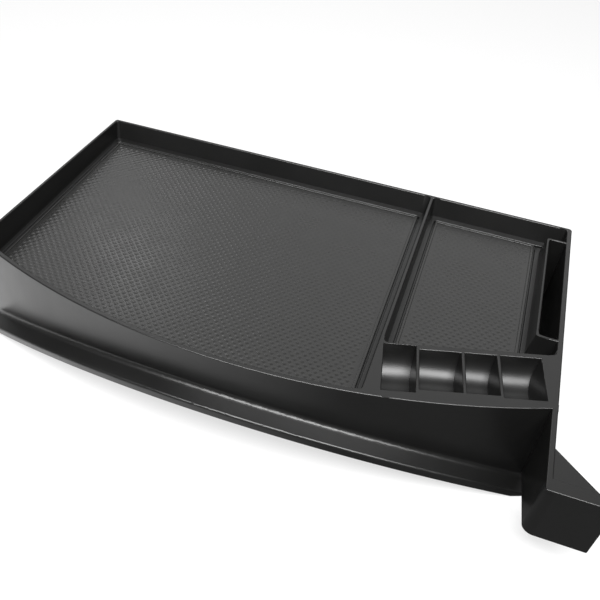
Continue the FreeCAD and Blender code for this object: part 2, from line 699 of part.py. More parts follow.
# The mats lie on their seats, each with a raised edge round a lower field.
def make_mat(name, draw_inset):
    mat = make_body(name)
    outline = make_sketch(mat, name + "_outline", lift="-seat_depth")
    draw_inset(outline, "mat_gap")
    sheet_pad = make_pad(mat, name + "_sheet", outline, "mat_thickness", downwards=False)
    make_fillet(mat, name + "_corners", sheet_pad, is_upright, "seat_round - mat_gap")
    field = make_sketch(mat, name + "_field_outline", lift="mat_thickness - seat_depth")
    draw_inset(field, "(mat_gap + mat_edge)")
    dip = make_pocket(mat, name + "_field", field, "mat_dip")
    top = worth("mat_thickness - seat_depth")

    def is_raised(edge):
        return all(abs(vertex.Z - top) < 0.01 for vertex in edge.Vertexes)

    make_fillet(mat, name + "_edge", dip, is_raised, "mat_round")
    tilt(mat, SHIFT)
    return mat


mats = [make_mat("mat_large", draw_large_inset), make_mat("mat_small", draw_small_inset)]
doc.recompute()

nodes = {"tray": tray, "mat_large": mats[0], "mat_small": mats[1]}
for thing in doc.Objects:
    if {"Invalid", "Error"} & set(thing.State):
        raise RuntimeError("%s was not built: %s" % (thing.Name, thing.State))
    if thing.isDerivedFrom("Part::Feature") and not thing.isDerivedFrom("Sketcher::SketchObject"):
        if thing.Shape.isNull() or not thing.Shape.isValid():
            raise RuntimeError("%s has no sound shape" % thing.Name)

os.makedirs("parts", exist_ok=True)
for node, thing in nodes.items():
    thing.Shape.exportStep("parts/%s.step" % node)
    print(node, len(thing.Shape.Solids), thing.Shape.Volume, thing.Shape.BoundBox)
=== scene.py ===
"""Dressed model of a dashboard tray: the moulded shell, its two embossed mats and the studio round them."""

import logging
import math
from dataclasses import dataclass, field
from enum import Enum

import bmesh
import bpy
from mathutils import Matrix, Vector
from mathutils.bvhtree import BVHTree
from mathutils.geometry import intersect_point_line
from mathutils.kdtree import KDTree


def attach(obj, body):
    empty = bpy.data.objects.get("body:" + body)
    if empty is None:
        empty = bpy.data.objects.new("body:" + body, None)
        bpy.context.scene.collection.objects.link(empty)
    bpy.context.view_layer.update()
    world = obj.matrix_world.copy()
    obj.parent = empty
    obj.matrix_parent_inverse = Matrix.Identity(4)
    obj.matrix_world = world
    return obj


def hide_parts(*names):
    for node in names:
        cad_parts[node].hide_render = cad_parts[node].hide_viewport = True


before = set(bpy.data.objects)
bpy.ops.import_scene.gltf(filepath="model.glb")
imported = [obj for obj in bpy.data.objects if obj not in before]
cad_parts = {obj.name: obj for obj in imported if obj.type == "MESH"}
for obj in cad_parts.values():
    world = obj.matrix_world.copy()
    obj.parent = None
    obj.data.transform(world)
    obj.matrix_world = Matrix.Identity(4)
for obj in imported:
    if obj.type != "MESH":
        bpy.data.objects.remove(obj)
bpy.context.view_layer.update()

LOG = logging.getLogger("dashboard_tray")
BODY = "root"
WELD = 1e-6
PLASTIC_IOR = 1.5
NEUTRAL_WEIGHT = 50
OPPOSITE = -0.5

Socket = bpy.types.NodeSocket
Value = bpy.types.NodeSocket | float


class Slot(Enum):
    """Names for the two finishes, shell and mat; nothing here gives one to a piece."""

    SHELL = "shell"
    MAT = "mat"


class NodeMaker:
    """Adds and joins nodes in one node tree."""

    NOISE_LOW = 0.3
    NOISE_HIGH = 0.7

    def __init__(self, tree: bpy.types.NodeTree) -> None:
        """Keeps the tree that the nodes go into.

        Args:
            tree: the node tree.
        """
        self.tree = tree

    def add(self, kind: str, **settings: object) -> bpy.types.Node:
        """Adds a node.

        Args:
            kind: the node's type name.
            settings: its properties by name.

        Returns:
            The node.
        """
        node = self.tree.nodes.new(kind)
        for name, value in settings.items():
            setattr(node, name, value)
        return node

    def feed(self, socket: Socket, value: Value | tuple[float, ...]) -> None:
        """Gives an input its value, or joins it to another node's output.

        Args:
            socket: the input.
            value: a constant or an output socket.
        """
        if isinstance(value, bpy.types.NodeSocket):
            self.tree.links.new(value, socket)
        else:
            socket.default_value = value

    def math(self, operation: str, *values: Value) -> Socket:
        """Adds a sum of values and returns its output.

        Args:
            operation: the sum's type name, such as MULTIPLY.
            values: its terms, constants or outputs.

        Returns:
            The result's socket.
        """
        node = self.add("ShaderNodeMath", operation=operation)
        for socket, value in zip(node.inputs, values):
            self.feed(socket, value)
        return node.outputs["Value"]

    def vector_math(self, operation: str, *values: Socket | tuple[float, ...]) -> bpy.types.Node:
        """Adds a sum of vectors.

        Args:
            operation: the sum's type name, such as ADD.
            values: its terms, constants or outputs.

        Returns:
            The node, whose output is Vector or Value.
        """
        node = self.add("ShaderNodeVectorMath", operation=operation)
        for socket, value in zip(node.inputs, values):
            self.feed(socket, value)
        return node

    def vector(self, x: Value, y: Value, z: Value) -> Socket:
        """Joins three values into a vector.

        Args:
            x: the part across.
            y: the part along.
            z: the part upwards.

        Returns:
            The vector's socket.
        """
        node = self.add("ShaderNodeCombineXYZ")
        for socket, value in zip(node.inputs, (x, y, z)):
            self.feed(socket, value)
        return node.outputs["Vector"]

    def noise(self, size: float, detail: float) -> Socket:
        """Adds noise on object coordinates.

        Args:
            size: about how wide one spot of the noise is, in metres.
            detail: how many finer layers it has.

        Returns:
            The noise's factor.
        """
        place = self.add("ShaderNodeTexCoord")
        noise = self.add("ShaderNodeTexNoise")
        noise.inputs["Scale"].default_value = 1.0 / size
        noise.inputs["Detail"].default_value = detail
        self.feed(noise.inputs["Vector"], place.outputs["Object"])
        return noise.outputs["Fac"]

    def spread(self, source: Socket, low: float, high: float) -> Socket:
        """Maps a noise's usual range to other values.

        Args:
            source: the noise's factor.
            low: the value at its low end.
            high: the value at its high end.

        Returns:
            The mapped output.
        """
        node = self.add("ShaderNodeMapRange")
        node.inputs["From Min"].default_value = self.NOISE_LOW
        node.inputs["From Max"].default_value = self.NOISE_HIGH
        node.inputs["To Min"].default_value = low
        node.inputs["To Max"].default_value = high
        self.feed(node.inputs["Value"], source)
        return node.outputs["Result"]

    def bump(self, height: Socket, depth: float, normal: Socket | None = None) -> Socket:
        """Adds a bump.

        Args:
            height: the height's output, 0 to 1.
            depth: how high 1 is, in metres.
            normal: the normal it builds on.

        Returns:
            The bumped normal.
        """
        node = self.add("ShaderNodeBump")
        node.inputs["Distance"].default_value = depth
        self.feed(node.inputs["Height"], height)
        if normal is not None:
            self.feed(node.inputs["Normal"], normal)
        return node.outputs["Normal"]


@dataclass(frozen=True)
class MouldedPlastic:
    """Black plastic or rubber with a satin shine, a fine grain and a slow waviness."""

    name: str
    dark: tuple[float, float, float]
    light: tuple[float, float, float]
    least_rough: float
    most_rough: float
    grain_size: float
    grain_depth: float
    wave_size: float
    wave_depth: float
    tint_share: float = 0.6

    def make(self) -> bpy.types.Material:
        """Builds the node material.

        Returns:
            The material.
        """
        material = bpy.data.materials.new(self.name)
        material.use_nodes = True
        nodes = NodeMaker(material.node_tree)
        shader = material.node_tree.nodes["Principled BSDF"]
        shader.inputs["IOR"].default_value = PLASTIC_IOR
        tint = nodes.add("ShaderNodeMix", data_type="RGBA")
        nodes.feed(tint.inputs["Factor"], nodes.noise(self.wave_size * self.tint_share, detail=3.0))
        colours = [socket for socket in tint.inputs if socket.type == "RGBA"]
        nodes.feed(colours[0], (*self.dark, 1.0))
        nodes.feed(colours[1], (*self.light, 1.0))
        blend = [socket for socket in tint.outputs if socket.type == "RGBA"]
        nodes.feed(shader.inputs["Base Color"], blend[0])
        gloss = nodes.spread(nodes.noise(self.wave_size, detail=4.0), self.least_rough, self.most_rough)
        nodes.feed(shader.inputs["Roughness"], gloss)
        wave = nodes.bump(nodes.noise(self.wave_size, detail=1.0), self.wave_depth)
        grain = nodes.bump(nodes.noise(self.grain_size, detail=2.0), self.grain_depth, wave)
        nodes.feed(shader.inputs["Normal"], grain)
        return material


SHELL_PLASTIC = MouldedPlastic(
    name="satin_black_plastic",
    dark=(0.0050, 0.0050, 0.0049),
    light=(0.0070, 0.0070, 0.0068),
    least_rough=0.30,
    most_rough=0.37,
    grain_size=0.0008,
    grain_depth=0.000012,
    wave_size=0.05,
    wave_depth=0.00008,
)
MAT_RUBBER = MouldedPlastic(
    name="embossed_black_rubber",
    dark=(0.0112, 0.0112, 0.0109),
    light=(0.0140, 0.0140, 0.0136),
    least_rough=0.23,
    most_rough=0.29,
    grain_size=0.0006,
    grain_depth=0.000008,
    wave_size=0.03,
    wave_depth=0.00003,
)


class EmbossTree:
    """Geometry nodes that stand small pillows on a flat region, in a staggered lattice."""

    ACROSS = "Pitch Across"
    ALONG = "Pitch Along"
    TILT = "Row Tilt"
    MARGIN = "Smooth Margin"
    WIDTH = "Pillow Width"
    DEPTH = "Pillow Depth"
    HEIGHT = "Pillow Height"
    SINK = "Sink"
    UNEVEN = "Unevenness"
    SEED = "Seed"
    LIFT = 0.1
    DROP = 0.3
    CORNERS = 5

    def __init__(self, name: str, material: bpy.types.Material) -> None:
        """Builds the tree.

        Args:
            name: the tree's name.
            material: what the pillows are made of.
        """
        self.tree = bpy.data.node_groups.new(name, "GeometryNodeTree")
        self.nodes = NodeMaker(self.tree)
        face = self.tree.interface
        face.new_socket("Geometry", in_out="INPUT", socket_type="NodeSocketGeometry")
        lengths = (
            self.ACROSS, self.ALONG, self.TILT, self.MARGIN, self.WIDTH,
            self.DEPTH, self.HEIGHT, self.SINK, self.UNEVEN,
        )
        self.keys = {
            name: face.new_socket(name, in_out="INPUT", socket_type="NodeSocketFloat").identifier
            for name in lengths
        }
        seed = face.new_socket(self.SEED, in_out="INPUT", socket_type="NodeSocketInt")
        self.keys[self.SEED] = seed.identifier
        face.new_socket("Geometry", in_out="OUTPUT", socket_type="NodeSocketGeometry")
        self.given = self.nodes.add("NodeGroupInput").outputs
        self._build(material)

    def _build(self, material: bpy.types.Material) -> None:
        """Joins the lattice, the pillow, the placing and the material.

        Args:
            material: what the pillows are made of.
        """
        nodes = self.nodes
        stand = nodes.add("GeometryNodeInstanceOnPoints")
        nodes.feed(stand.inputs["Points"], self._drop(self._lattice()))
        nodes.feed(stand.inputs["Instance"], self._pillow())
        nodes.feed(stand.inputs["Rotation"], nodes.vector(0.0, 0.0, self.given[self.TILT]))
        uneven = nodes.add("FunctionNodeRandomValue", data_type="FLOAT")
        floats = [socket for socket in uneven.inputs if socket.type == "VALUE"]
        nodes.feed(floats[0], nodes.math("SUBTRACT", 1.0, self.given[self.UNEVEN]))
        nodes.feed(floats[1], nodes.math("ADD", 1.0, self.given[self.UNEVEN]))
        nodes.feed(uneven.inputs["Seed"], self.given[self.SEED])
        factor = [socket for socket in uneven.outputs if socket.type == "VALUE"][0]
        nodes.feed(stand.inputs["Scale"], nodes.vector(1.0, 1.0, factor))
        real = nodes.add("GeometryNodeRealizeInstances")
        nodes.feed(real.inputs["Geometry"], stand.outputs["Instances"])
        dress = nodes.add("GeometryNodeSetMaterial")
        dress.inputs["Material"].default_value = material
        nodes.feed(dress.inputs["Geometry"], real.outputs["Geometry"])
        out = nodes.add("NodeGroupOutput")
        nodes.feed(out.inputs["Geometry"], dress.outputs["Geometry"])

    def _half(self, width: Socket, shift: float) -> Socket:
        """Makes one square-set half of the lattice.

        Args:
            width: the width of the square area to cover.
            shift: how many pitches it is moved across and along.

        Returns:
            The half lattice's geometry.
        """
        nodes = self.nodes
        grid = nodes.add("GeometryNodeMeshGrid")
        for side, pitch in (("X", self.given[self.ACROSS]), ("Y", self.given[self.ALONG])):
            count = nodes.math("CEIL", nodes.math("DIVIDE", width, pitch))
            nodes.feed(grid.inputs[f"Size {side}"], nodes.math("MULTIPLY", count, pitch))
            nodes.feed(grid.inputs[f"Vertices {side}"], nodes.math("ADD", count, 1.0))
        move = nodes.add("GeometryNodeTransform")
        nodes.feed(move.inputs["Geometry"], grid.outputs["Mesh"])
        shift_x = nodes.math("MULTIPLY", self.given[self.ACROSS], shift)
        shift_y = nodes.math("MULTIPLY", self.given[self.ALONG], shift)
        nodes.feed(move.inputs["Translation"], nodes.vector(shift_x, shift_y, 0.0))
        return move.outputs["Geometry"]

    def _lattice(self) -> Socket:
        """Lays both halves of the lattice over the region.

        Returns:
            The lattice's geometry, above and below which the region lies.
        """
        nodes = self.nodes
        box = nodes.add("GeometryNodeBoundBox")
        nodes.feed(box.inputs["Geometry"], self.given["Geometry"])
        low, high = box.outputs["Min"], box.outputs["Max"]
        width = nodes.vector_math("DISTANCE", low, high).outputs["Value"]
        total = nodes.vector_math("ADD", low, high).outputs["Vector"]
        middle = nodes.vector_math("MULTIPLY", total, (0.5, 0.5, 0.5))
        both = nodes.add("GeometryNodeJoinGeometry")
        nodes.feed(both.inputs["Geometry"], self._half(width, 0.0))
        nodes.feed(both.inputs["Geometry"], self._half(width, 0.5))
        lay = nodes.add("GeometryNodeTransform")
        nodes.feed(lay.inputs["Geometry"], both.outputs["Geometry"])
        nodes.feed(lay.inputs["Translation"], middle.outputs["Vector"])
        nodes.feed(lay.inputs["Rotation"], nodes.vector(0.0, 0.0, self.given[self.TILT]))
        return lay.outputs["Geometry"]

    def _drop(self, lattice: Socket) -> Socket:
        """Drops the lattice's points on the region and leaves out those beside it or too near its edge.

        Args:
            lattice: the lattice's geometry.

        Returns:
            The points where pillows stand.
        """
        nodes = self.nodes
        here = nodes.add("GeometryNodeInputPosition").outputs["Position"]
        ray = nodes.add("GeometryNodeRaycast")
        nodes.feed(ray.inputs["Target Geometry"], self.given["Geometry"])
        above = nodes.vector_math("ADD", here, (0.0, 0.0, self.LIFT)).outputs["Vector"]
        nodes.feed(ray.inputs["Source Position"], above)
        nodes.feed(ray.inputs["Ray Direction"], (0.0, 0.0, -1.0))
        nodes.feed(ray.inputs["Ray Length"], self.DROP)
        near = nodes.add("GeometryNodeProximity", target_element="EDGES")
        nodes.feed(near.inputs["Geometry"], self.given["Geometry"])
        nodes.feed(near.inputs["Sample Position"], ray.outputs["Hit Position"])
        inside = nodes.add("FunctionNodeCompare", data_type="FLOAT", operation="GREATER_THAN")
        nodes.feed(inside.inputs["A"], near.outputs["Distance"])
        nodes.feed(inside.inputs["B"], self.given[self.MARGIN])
        kept = nodes.add("FunctionNodeBooleanMath", operation="AND")
        nodes.feed(kept.inputs[0], ray.outputs["Is Hit"])
        nodes.feed(kept.inputs[1], inside.outputs["Result"])
        stray = nodes.add("FunctionNodeBooleanMath", operation="NOT")
        nodes.feed(stray.inputs[0], kept.outputs["Boolean"])
        clear = nodes.add("GeometryNodeDeleteGeometry", domain="POINT")
        nodes.feed(clear.inputs["Geometry"], lattice)
        nodes.feed(clear.inputs["Selection"], stray.outputs["Boolean"])
        depth = nodes.vector(0.0, 0.0, self.given[self.SINK])
        sunk = nodes.vector_math("SUBTRACT", ray.outputs["Hit Position"], depth)
        drop = nodes.add("GeometryNodeSetPosition")
        nodes.feed(drop.inputs["Geometry"], clear.outputs["Geometry"])
        nodes.feed(drop.inputs["Position"], sunk.outputs["Vector"])
        return drop.outputs["Geometry"]

    def _pillow(self) -> Socket:
        """Makes one pillow: a small diamond of faces raised to a rounded top.

        Returns:
            The pillow's geometry.
        """
        nodes = self.nodes
        grid = nodes.add("GeometryNodeMeshGrid")
        nodes.feed(grid.inputs["Size X"], 1.0)
        nodes.feed(grid.inputs["Size Y"], 1.0)
        nodes.feed(grid.inputs["Vertices X"], self.CORNERS)
        nodes.feed(grid.inputs["Vertices Y"], self.CORNERS)
        split = nodes.add("ShaderNodeSeparateXYZ")
        nodes.feed(split.inputs["Vector"], nodes.add("GeometryNodeInputPosition").outputs["Position"])
        u, v = split.outputs["X"], split.outputs["Y"]
        swell_u = nodes.math("COSINE", nodes.math("MULTIPLY", u, math.pi))
        swell_v = nodes.math("COSINE", nodes.math("MULTIPLY", v, math.pi))
        swell = nodes.math("MULTIPLY", swell_u, swell_v)
        across = nodes.math("MULTIPLY", nodes.math("ADD", u, v), self.given[self.WIDTH])
        along = nodes.math("MULTIPLY", nodes.math("SUBTRACT", v, u), self.given[self.DEPTH])
        half_across = nodes.math("MULTIPLY", across, 0.5)
        half_along = nodes.math("MULTIPLY", along, 0.5)
        raise_it = nodes.add("GeometryNodeSetPosition")
        nodes.feed(raise_it.inputs["Geometry"], grid.outputs["Mesh"])
        upward = nodes.math("MULTIPLY", swell, self.given[self.HEIGHT])
        nodes.feed(raise_it.inputs["Position"], nodes.vector(half_across, half_along, upward))
        smooth = nodes.add("GeometryNodeSetShadeSmooth")
        nodes.feed(smooth.inputs["Geometry"], raise_it.outputs["Geometry"])
        return smooth.outputs["Geometry"]

    def apply(self, piece: bpy.types.Object, **values: float) -> None:
        """Runs the tree on a piece and keeps the result as its mesh.

        Args:
            piece: the region's object.
            values: the tree's inputs by name, with underscores for spaces.
        """
        modifier = piece.modifiers.new("emboss", "NODES")
        modifier.node_group = self.tree
        for name, value in values.items():
            modifier[self.keys[name.replace("_", " ")]] = value
        bake(piece)


def link_object(name: str, data: bpy.types.ID) -> bpy.types.Object:
    """Makes an object of some data and puts it in the scene.

    Args:
        name: the object's name.
        data: its mesh, lamp or camera.

    Returns:
        The object.
    """
    made = bpy.data.objects.new(name, data)
    bpy.context.scene.collection.objects.link(made)
    return made


def merged_copy(node: str, name: str) -> bpy.types.Object:
    """Copies a node of the frame and joins its loose faces into one skin.

    Args:
        node: the node's name in the frame.
        name: the new piece's name.

    Returns:
        The new object, at the origin.
    """
    mesh = bmesh.new()
    mesh.from_mesh(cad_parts[node].data)
    bmesh.ops.remove_doubles(mesh, verts=mesh.verts, dist=WELD)
    data = bpy.data.meshes.new(name)
    mesh.to_mesh(data)
    mesh.free()
    shading = data.attributes.get("custom_normal")
    if shading is not None:
        data.attributes.remove(shading)
    return link_object(name, data)


def bake(piece: bpy.types.Object) -> None:
    """Applies a piece's modifiers to its mesh.

    Args:
        piece: the piece.
    """
    graph = bpy.context.evaluated_depsgraph_get()
    data = bpy.data.meshes.new_from_object(piece.evaluated_get(graph))
    piece.modifiers.clear()
    piece.data = data


def soften(piece: bpy.types.Object, angle: float) -> None:
    """Shades a piece smooth where its faces meet at less than an angle, and keeps its flat faces flat.

    Args:
        piece: the piece.
        angle: the largest angle that stays smooth, in radians.
    """
    mesh = bmesh.new()
    mesh.from_mesh(piece.data)
    for face in mesh.faces:
        face.smooth = True
    for edge in mesh.edges:
        edge.smooth = edge.calc_face_angle(0.0) < angle
    mesh.to_mesh(piece.data)
    mesh.free()
    weight = piece.modifiers.new("flat_faces", "WEIGHTED_NORMAL")
    weight.keep_sharp = True
    weight.weight = NEUTRAL_WEIGHT
    bake(piece)


class FaceJoiner:
    """Joins the triangles of each level face of a mesh into few faces, none with a hole in it."""

    LEVEL = math.radians(0.3)
    ON_PLANE = 1e-7

    def __init__(self, mesh: bmesh.types.BMesh) -> None:
        """Keeps the mesh.

        Args:
            mesh: the mesh, whose faces are joined in place.
        """
        self.mesh = mesh

    def run(self) -> None:
        """Cuts the level faces with holes, joins the triangles and drops corners in straight edges."""
        cuts: set[bmesh.types.BMEdge] = set()
        for patch in self._patches(cuts):
            for hole in self._holes(patch):
                cuts |= self._cut(patch, hole)
        for patch in self._patches(cuts):
            if len(patch) > 1:
                bmesh.ops.dissolve_faces(self.mesh, faces=patch, use_verts=False)
        straight = [corner for corner in self.mesh.verts if self._is_straight(corner)]
        bmesh.ops.dissolve_verts(self.mesh, verts=straight)

    def _patches(self, cuts: set[bmesh.types.BMEdge]) -> list[list[bmesh.types.BMFace]]:
        """Groups the faces that lie in one plane and touch each other.

        Args:
            cuts: edges that keep two groups apart.

        Returns:
            The groups.
        """
        patches, seen = [], set()
        for first in self.mesh.faces:
            if first in seen:
                continue
            seen.add(first)
            patch, waiting = [first], [first]
            while waiting:
                for edge in waiting.pop().edges:
                    bent = len(edge.link_faces) != 2 or edge.calc_face_angle(math.pi) > self.LEVEL
                    if edge in cuts or bent:
                        continue
                    for face in edge.link_faces:
                        if face not in seen:
                            seen.add(face)
                            patch.append(face)
                            waiting.append(face)
            patches.append(patch)
        return patches

    def _holes(self, patch: list[bmesh.types.BMFace]) -> list[Vector]:
        """Finds the middles of the holes of a group of faces.

        Args:
            patch: the group.

        Returns:
            The middle of each loop of border edges but the longest.
        """
        inside = set(patch)
        border = [
            edge for face in patch for edge in face.edges
            if len(inside.intersection(edge.link_faces)) == 1
        ]
        ends: dict[bmesh.types.BMVert, list[bmesh.types.BMEdge]] = {}
        for edge in border:
            for corner in edge.verts:
                ends.setdefault(corner, []).append(edge)
        loops, seen = [], set()
        for first in border:
            if first in seen:
                continue
            seen.add(first)
            loop, waiting = [first], [first]
            while waiting:
                for corner in waiting.pop().verts:
                    for edge in ends[corner]:
                        if edge not in seen:
                            seen.add(edge)
                            loop.append(edge)
                            waiting.append(edge)
            loops.append(loop)
        loops.sort(key=lambda loop: sum(edge.calc_length() for edge in loop))
        return [sum((edge.verts[0].co for edge in loop), Vector()) / len(loop) for loop in loops[:-1]]

    def _cut(self, patch: list[bmesh.types.BMFace], place: Vector) -> set[bmesh.types.BMEdge]:
        """Cuts a group of faces along an upright plane that runs from front to back.

        Args:
            patch: the group, to which the faces made by the cut are added.
            place: a point of the plane.

        Returns:
            The edges of the cut.
        """
        parts = {part for face in patch for part in (face, *face.edges, *face.verts)}
        made = bmesh.ops.bisect_plane(
            self.mesh,
            geom=list(parts),
            dist=self.ON_PLANE,
            plane_co=place,
            plane_no=(1.0, 0.0, 0.0),
        )
        known = set(patch)
        faces = (part for part in made["geom"] if isinstance(part, bmesh.types.BMFace))
        patch.extend(face for face in faces if face not in known)
        return {part for part in made["geom_cut"] if isinstance(part, bmesh.types.BMEdge)}

    def _is_straight(self, corner: bmesh.types.BMVert) -> bool:
        """Tells whether a corner only lies in one straight edge.

        Args:
            corner: the corner.

        Returns:
            True if it joins two edges that run straight on.
        """
        if len(corner.link_edges) != 2:
            return False
        one, other = (edge.other_vert(corner).co - corner.co for edge in corner.link_edges)
        return one.length > 0.0 and other.length > 0.0 and one.angle(-other) < self.LEVEL


def gap_between(one: bmesh.types.BMLoop, other: bmesh.types.BMLoop) -> float:
    """Measures the gap between two sides of a face.

    Args:
        one: the first side.
        other: the second side.

    Returns:
        The gap, or infinity where the sides meet or don't run against each other.
    """
    sides = [(side.vert.co, side.link_loop_next.vert.co) for side in (one, other)]
    courses = [(end - start).normalized() for start, end in sides]
    if courses[0].dot(courses[1]) > OPPOSITE or set(one.edge.verts) & set(other.edge.verts):
        return math.inf
    gap = math.inf
    for (start, end), corners in zip(sides, reversed(sides)):
        for corner in corners:
            foot, share = intersect_point_line(corner, start, end)
            nearest = start if share < 0.0 else end if share > 1.0 else foot
            gap = min(gap, (corner - nearest).length)
    return gap


class EdgeRounder:
    """Rounds a piece's outer edges, and leaves the rounding out wherever there is too little room for it.

    SLACK, END, SMALL, NEAR and WIDER are lengths in widths of the rounding, and LONG counts ends. SHARE is
    how much of the room beside an edge its rounding may take. SPECK is an area in square metres, and
    BACKWARD is the cosine of an angle between normals.
    """

    TRIES = 10
    SHARE = 0.35
    SLACK = 0.55
    END = 4.0
    LONG = 3.0
    SMALL = 8.0
    NEAR = 1.2
    WIDER = 0.3
    SPECK = 2e-8
    BACKWARD = -0.2

    def __init__(self, piece: bpy.types.Object, width: float, angle: float, segments: int) -> None:
        """Joins the piece's level faces and weighs its outer edges.

        Args:
            piece: the piece, whose mesh is rounded.
            width: how far the rounding reaches into each face, in metres.
            angle: the least angle between the faces of a rounded edge, in radians.
            segments: how many facets the rounding has.
        """
        self.piece = piece
        self.width = width
        self.segments = segments
        self.mesh = bmesh.new()
        self.mesh.from_mesh(piece.data)
        self.skin = BVHTree.FromBMesh(self.mesh)
        FaceJoiner(self.mesh).run()
        self.weight = self.mesh.edges.layers.float.new("bevel_weight_edge")
        self._part_ends(angle)
        self.mesh.verts.ensure_lookup_table()
        self.mesh.verts.index_update()
        self.corners = KDTree(len(self.mesh.verts))
        for corner in self.mesh.verts:
            self.corners.insert(corner.co, corner.index)
        self.corners.balance()
        self._weigh(angle)

    def run(self) -> None:
        """Rounds the edges, and does it again without the rounding near each spot that came out wrong."""
        for attempt in range(self.TRIES):
            self._bevel()
            spoilt = self._spoilt()
            LOG.info("rounding %d: %d corners of spoilt triangles", attempt, len(spoilt))
            if not spoilt:
                break
            self._ease(spoilt, attempt)
        self.mesh.free()

    def _part_ends(self, angle: float) -> None:
        """Parts the ends of long edges from their middles, so that a crowded corner can't spoil a whole edge.

        Args:
            angle: the least angle between the faces of a rounded edge, in radians.
        """
        end = self.END * self.width
        for edge in list(self.mesh.edges):
            if edge.is_convex and edge.calc_face_angle(0.0) > angle and edge.calc_length() > self.LONG * end:
                for corner in list(edge.verts):
                    bmesh.utils.edge_split(edge, corner, end / edge.calc_length())

    def _weigh(self, angle: float) -> None:
        """Marks the edges to round, with less rounding where a face is narrow.

        Args:
            angle: the least angle between the faces of a rounded edge, in radians.
        """
        sharp = {edge for edge in self.mesh.edges if edge.is_convex and edge.calc_face_angle(0.0) > angle}
        room = {edge: math.inf for edge in sharp}
        for face in self.mesh.faces:
            sides = [side for side in face.loops if side.edge in sharp]
            for index, one in enumerate(sides):
                for other in sides[index + 1:]:
                    gap = gap_between(one, other)
                    room[one.edge] = min(room[one.edge], gap)
                    room[other.edge] = min(room[other.edge], gap)
        for edge in sharp:
            edge[self.weight] = min(1.0, self.SHARE * room[edge] / self.width)

    def _bevel(self) -> None:
        """Rounds the weighed edges of the joined mesh and gives the piece the result."""
        data = bpy.data.meshes.new(self.piece.name)
        self.mesh.to_mesh(data)
        self.piece.data = data
        bevel = self.piece.modifiers.new("round_edges", "BEVEL")
        bevel.width = self.width
        bevel.segments = self.segments
        bevel.limit_method = "WEIGHT"
        bevel.use_clamp_overlap = False
        bake(self.piece)

    def _spoilt(self) -> list[Vector]:
        """Finds the triangles of the piece that stand off its first skin or look the wrong way.

        Returns:
            The corners of the small ones, or of all if none is small.
        """
        mesh = bmesh.new()
        mesh.from_mesh(self.piece.data)
        bmesh.ops.triangulate(mesh, faces=mesh.faces)
        small, large = [], []
        for face in mesh.faces:
            middle = face.calc_center_median()
            _, normal, _, off = self.skin.find_nearest(middle)
            for edge in face.edges:
                halfway = (edge.verts[0].co + edge.verts[1].co) / 2.0
                _, _, _, distance = self.skin.find_nearest(halfway)
                off = max(off, distance)
            turned = face.calc_area() > self.SPECK and normal.dot(face.normal) < self.BACKWARD
            if off > self.SLACK * self.width or turned:
                group = small if face.calc_perimeter() < self.SMALL * self.width else large
                group.extend(corner.co.copy() for corner in face.verts)
        mesh.free()
        return small or large

    def _ease(self, spoilt: list[Vector], attempt: int) -> None:
        """Leaves out the rounding at the corners next to spoilt places.

        Args:
            spoilt: the places.
            attempt: how many times this has been done before, which widens the reach.
        """
        reach = self.width * (self.NEAR + self.WIDER * attempt)
        near = {index for place in spoilt for _, index, _ in self.corners.find_range(place, reach)}
        for edge in {edge for index in near for edge in self.mesh.verts[index].link_edges}:
            edge[self.weight] = 0.0


@dataclass
class TrayShell:
    """The moulded shell."""

    node: str = "tray"
    edge_round: float = 0.0011
    edge_angle: float = math.radians(32)
    edge_segments: int = 4
    smooth_angle: float = math.radians(28)
    finish: MouldedPlastic = SHELL_PLASTIC
    pieces: list[bpy.types.Object] = field(default_factory=list)

    def build(self) -> None:
        """Copies the shell from the frame, rounds its edges, shades its curves and gives it its finish."""
        shell = merged_copy(self.node, "tray_shell")
        EdgeRounder(shell, self.edge_round, self.edge_angle, self.edge_segments).run()
        soften(shell, self.smooth_angle)
        shell.data.materials.clear()
        shell.data.materials.append(self.finish.make())
        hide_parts(self.node)
        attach(shell, BODY)
        self.pieces.append(shell)


